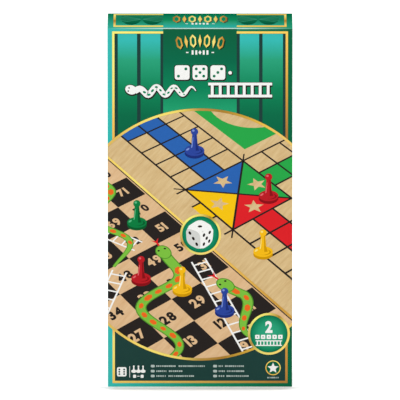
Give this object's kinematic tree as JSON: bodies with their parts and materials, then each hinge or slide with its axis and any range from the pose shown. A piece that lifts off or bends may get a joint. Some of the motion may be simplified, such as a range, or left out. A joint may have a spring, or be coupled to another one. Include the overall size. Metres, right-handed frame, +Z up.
{
  "type": "boxed ludo and snakes and ladders board game",
  "caption": "Upright printed box with a slide-off lid, holding a formed tray of pawns and a die, a rules leaflet and a folding two-sided game board.",
  "frame": {"origin": "middle of the standing box's footprint, on the surface it stands on", "axes": "+Z up along the height, the printed front faces -Y, +X to the viewer's right"},
  "size_m": [0.135, 0.048, 0.27],
  "materials": {
    "printed_board": "satin printed paper over greyboard",
    "base_board": "satin printed paper over greyboard",
    "greyboard": "matte",
    "ladders_print": "satin printed paper",
    "ludo_print": "satin printed paper",
    "hinge_cloth": "fine book cloth",
    "leaflet_paper": "uncoated",
    "tray_sheet": "satin formed sheet",
    "die_plastic": "gloss",
    "red_plastic": "gloss",
    "blue_plastic": "gloss",
    "green_plastic": "gloss",
    "yellow_plastic": "gloss"
  },
  "bodies": {
    "base": {"box_base": "base_board", "tray": "tray_sheet"},
    "lid": {"box_lid": "printed_board"},
    "board_rear": {"rear_ladders_sheet": "ladders_print", "rear_panel": "greyboard", "rear_ludo_sheet": "ludo_print", "hinge_tape": "hinge_cloth"},
    "board_front": {"front_ladders_sheet": "ladders_print", "front_panel": "greyboard", "front_ludo_sheet": "ludo_print"},
    "leaflet": {"rules_leaflet": "leaflet_paper"},
    "die": {"die": "die_plastic"},
    "pawn_red_1": {"pawn_red_1": "red_plastic"},
    "pawn_red_2": {"pawn_red_2": "red_plastic"},
    "pawn_red_3": {"pawn_red_3": "red_plastic"},
    "pawn_red_4": {"pawn_red_4": "red_plastic"},
    "pawn_blue_1": {"pawn_blue_1": "blue_plastic"},
    "pawn_blue_2": {"pawn_blue_2": "blue_plastic"},
    "pawn_blue_3": {"pawn_blue_3": "blue_plastic"},
    "pawn_blue_4": {"pawn_blue_4": "blue_plastic"},
    "pawn_green_1": {"pawn_green_1": "green_plastic"},
    "pawn_green_2": {"pawn_green_2": "green_plastic"},
    "pawn_green_3": {"pawn_green_3": "green_plastic"},
    "pawn_green_4": {"pawn_green_4": "green_plastic"},
    "pawn_yellow_1": {"pawn_yellow_1": "yellow_plastic"},
    "pawn_yellow_2": {"pawn_yellow_2": "yellow_plastic"},
    "pawn_yellow_3": {"pawn_yellow_3": "yellow_plastic"},
    "pawn_yellow_4": {"pawn_yellow_4": "yellow_plastic"}
  },
  "joints": [
    {"name": "lid_lift", "type": "slide", "parent": "base", "child": "lid", "axis": [0, -1, 0], "range_m": [0, 0.48]},
    {"name": "board_lift", "type": "slide", "parent": "base", "child": "board_rear", "axis": [0, -1, 0], "range_m": [0, 0.06]},
    {"name": "board_fold", "type": "hinge", "parent": "board_rear", "child": "board_front", "pos_m": [-0.0653, -0.0192, 0.1299], "axis": [0, 0, -1], "range_deg": [0, 180], "deforming": ["hinge_tape"]},
    {"name": "leaflet_lift", "type": "slide", "parent": "base", "child": "leaflet", "axis": [0, -1, 0], "range_m": [0, 0.036]},
    {"name": "die_lift", "type": "slide", "parent": "base", "child": "die", "axis": [0, -1, 0], "range_m": [0, 0.024]},
    {"name": "pawn_red_1_lift", "type": "slide", "parent": "base", "child": "pawn_red_1", "axis": [0, -1, 0], "range_m": [0, 0.024]},
    {"name": "pawn_red_2_lift", "type": "slide", "parent": "base", "child": "pawn_red_2", "axis": [0, -1, 0], "range_m": [0, 0.024]},
    {"name": "pawn_red_3_lift", "type": "slide", "parent": "base", "child": "pawn_red_3", "axis": [0, -1, 0], "range_m": [0, 0.024]},
    {"name": "pawn_red_4_lift", "type": "slide", "parent": "base", "child": "pawn_red_4", "axis": [0, -1, 0], "range_m": [0, 0.024]},
    {"name": "pawn_blue_1_lift", "type": "slide", "parent": "base", "child": "pawn_blue_1", "axis": [0, -1, 0], "range_m": [0, 0.024]},
    {"name": "pawn_blue_2_lift", "type": "slide", "parent": "base", "child": "pawn_blue_2", "axis": [0, -1, 0], "range_m": [0, 0.024]},
    {"name": "pawn_blue_3_lift", "type": "slide", "parent": "base", "child": "pawn_blue_3", "axis": [0, -1, 0], "range_m": [0, 0.024]},
    {"name": "pawn_blue_4_lift", "type": "slide", "parent": "base", "child": "pawn_blue_4", "axis": [0, -1, 0], "range_m": [0, 0.024]},
    {"name": "pawn_green_1_lift", "type": "slide", "parent": "base", "child": "pawn_green_1", "axis": [0, -1, 0], "range_m": [0, 0.024]},
    {"name": "pawn_green_2_lift", "type": "slide", "parent": "base", "child": "pawn_green_2", "axis": [0, -1, 0], "range_m": [0, 0.024]},
    {"name": "pawn_green_3_lift", "type": "slide", "parent": "base", "child": "pawn_green_3", "axis": [0, -1, 0], "range_m": [0, 0.024]},
    {"name": "pawn_green_4_lift", "type": "slide", "parent": "base", "child": "pawn_green_4", "axis": [0, -1, 0], "range_m": [0, 0.024]},
    {"name": "pawn_yellow_1_lift", "type": "slide", "parent": "base", "child": "pawn_yellow_1", "axis": [0, -1, 0], "range_m": [0, 0.024]},
    {"name": "pawn_yellow_2_lift", "type": "slide", "parent": "base", "child": "pawn_yellow_2", "axis": [0, -1, 0], "range_m": [0, 0.024]},
    {"name": "pawn_yellow_3_lift", "type": "slide", "parent": "base", "child": "pawn_yellow_3", "axis": [0, -1, 0], "range_m": [0, 0.024]},
    {"name": "pawn_yellow_4_lift", "type": "slide", "parent": "base", "child": "pawn_yellow_4", "axis": [0, -1, 0], "range_m": [0, 0.024]}
  ],
  "couplings": [
    {"joint": "board_lift", "follows": "lid_lift", "ratio": 0.125},
    {"joint": "board_fold", "follows": "lid_lift", "rad_per_m": 6.5449},
    {"joint": "leaflet_lift", "follows": "lid_lift", "ratio": 0.075},
    {"joint": "die_lift", "follows": "lid_lift", "ratio": 0.05},
    {"joint": "pawn_red_1_lift", "follows": "lid_lift", "ratio": 0.05},
    {"joint": "pawn_red_2_lift", "follows": "lid_lift", "ratio": 0.05},
    {"joint": "pawn_red_3_lift", "follows": "lid_lift", "ratio": 0.05},
    {"joint": "pawn_red_4_lift", "follows": "lid_lift", "ratio": 0.05},
    {"joint": "pawn_blue_1_lift", "follows": "lid_lift", "ratio": 0.05},
    {"joint": "pawn_blue_2_lift", "follows": "lid_lift", "ratio": 0.05},
    {"joint": "pawn_blue_3_lift", "follows": "lid_lift", "ratio": 0.05},
    {"joint": "pawn_blue_4_lift", "follows": "lid_lift", "ratio": 0.05},
    {"joint": "pawn_green_1_lift", "follows": "lid_lift", "ratio": 0.05},
    {"joint": "pawn_green_2_lift", "follows": "lid_lift", "ratio": 0.05},
    {"joint": "pawn_green_3_lift", "follows": "lid_lift", "ratio": 0.05},
    {"joint": "pawn_green_4_lift", "follows": "lid_lift", "ratio": 0.05},
    {"joint": "pawn_yellow_1_lift", "follows": "lid_lift", "ratio": 0.05},
    {"joint": "pawn_yellow_2_lift", "follows": "lid_lift", "ratio": 0.05},
    {"joint": "pawn_yellow_3_lift", "follows": "lid_lift", "ratio": 0.05},
    {"joint": "pawn_yellow_4_lift", "follows": "lid_lift", "ratio": 0.05}
  ]
}
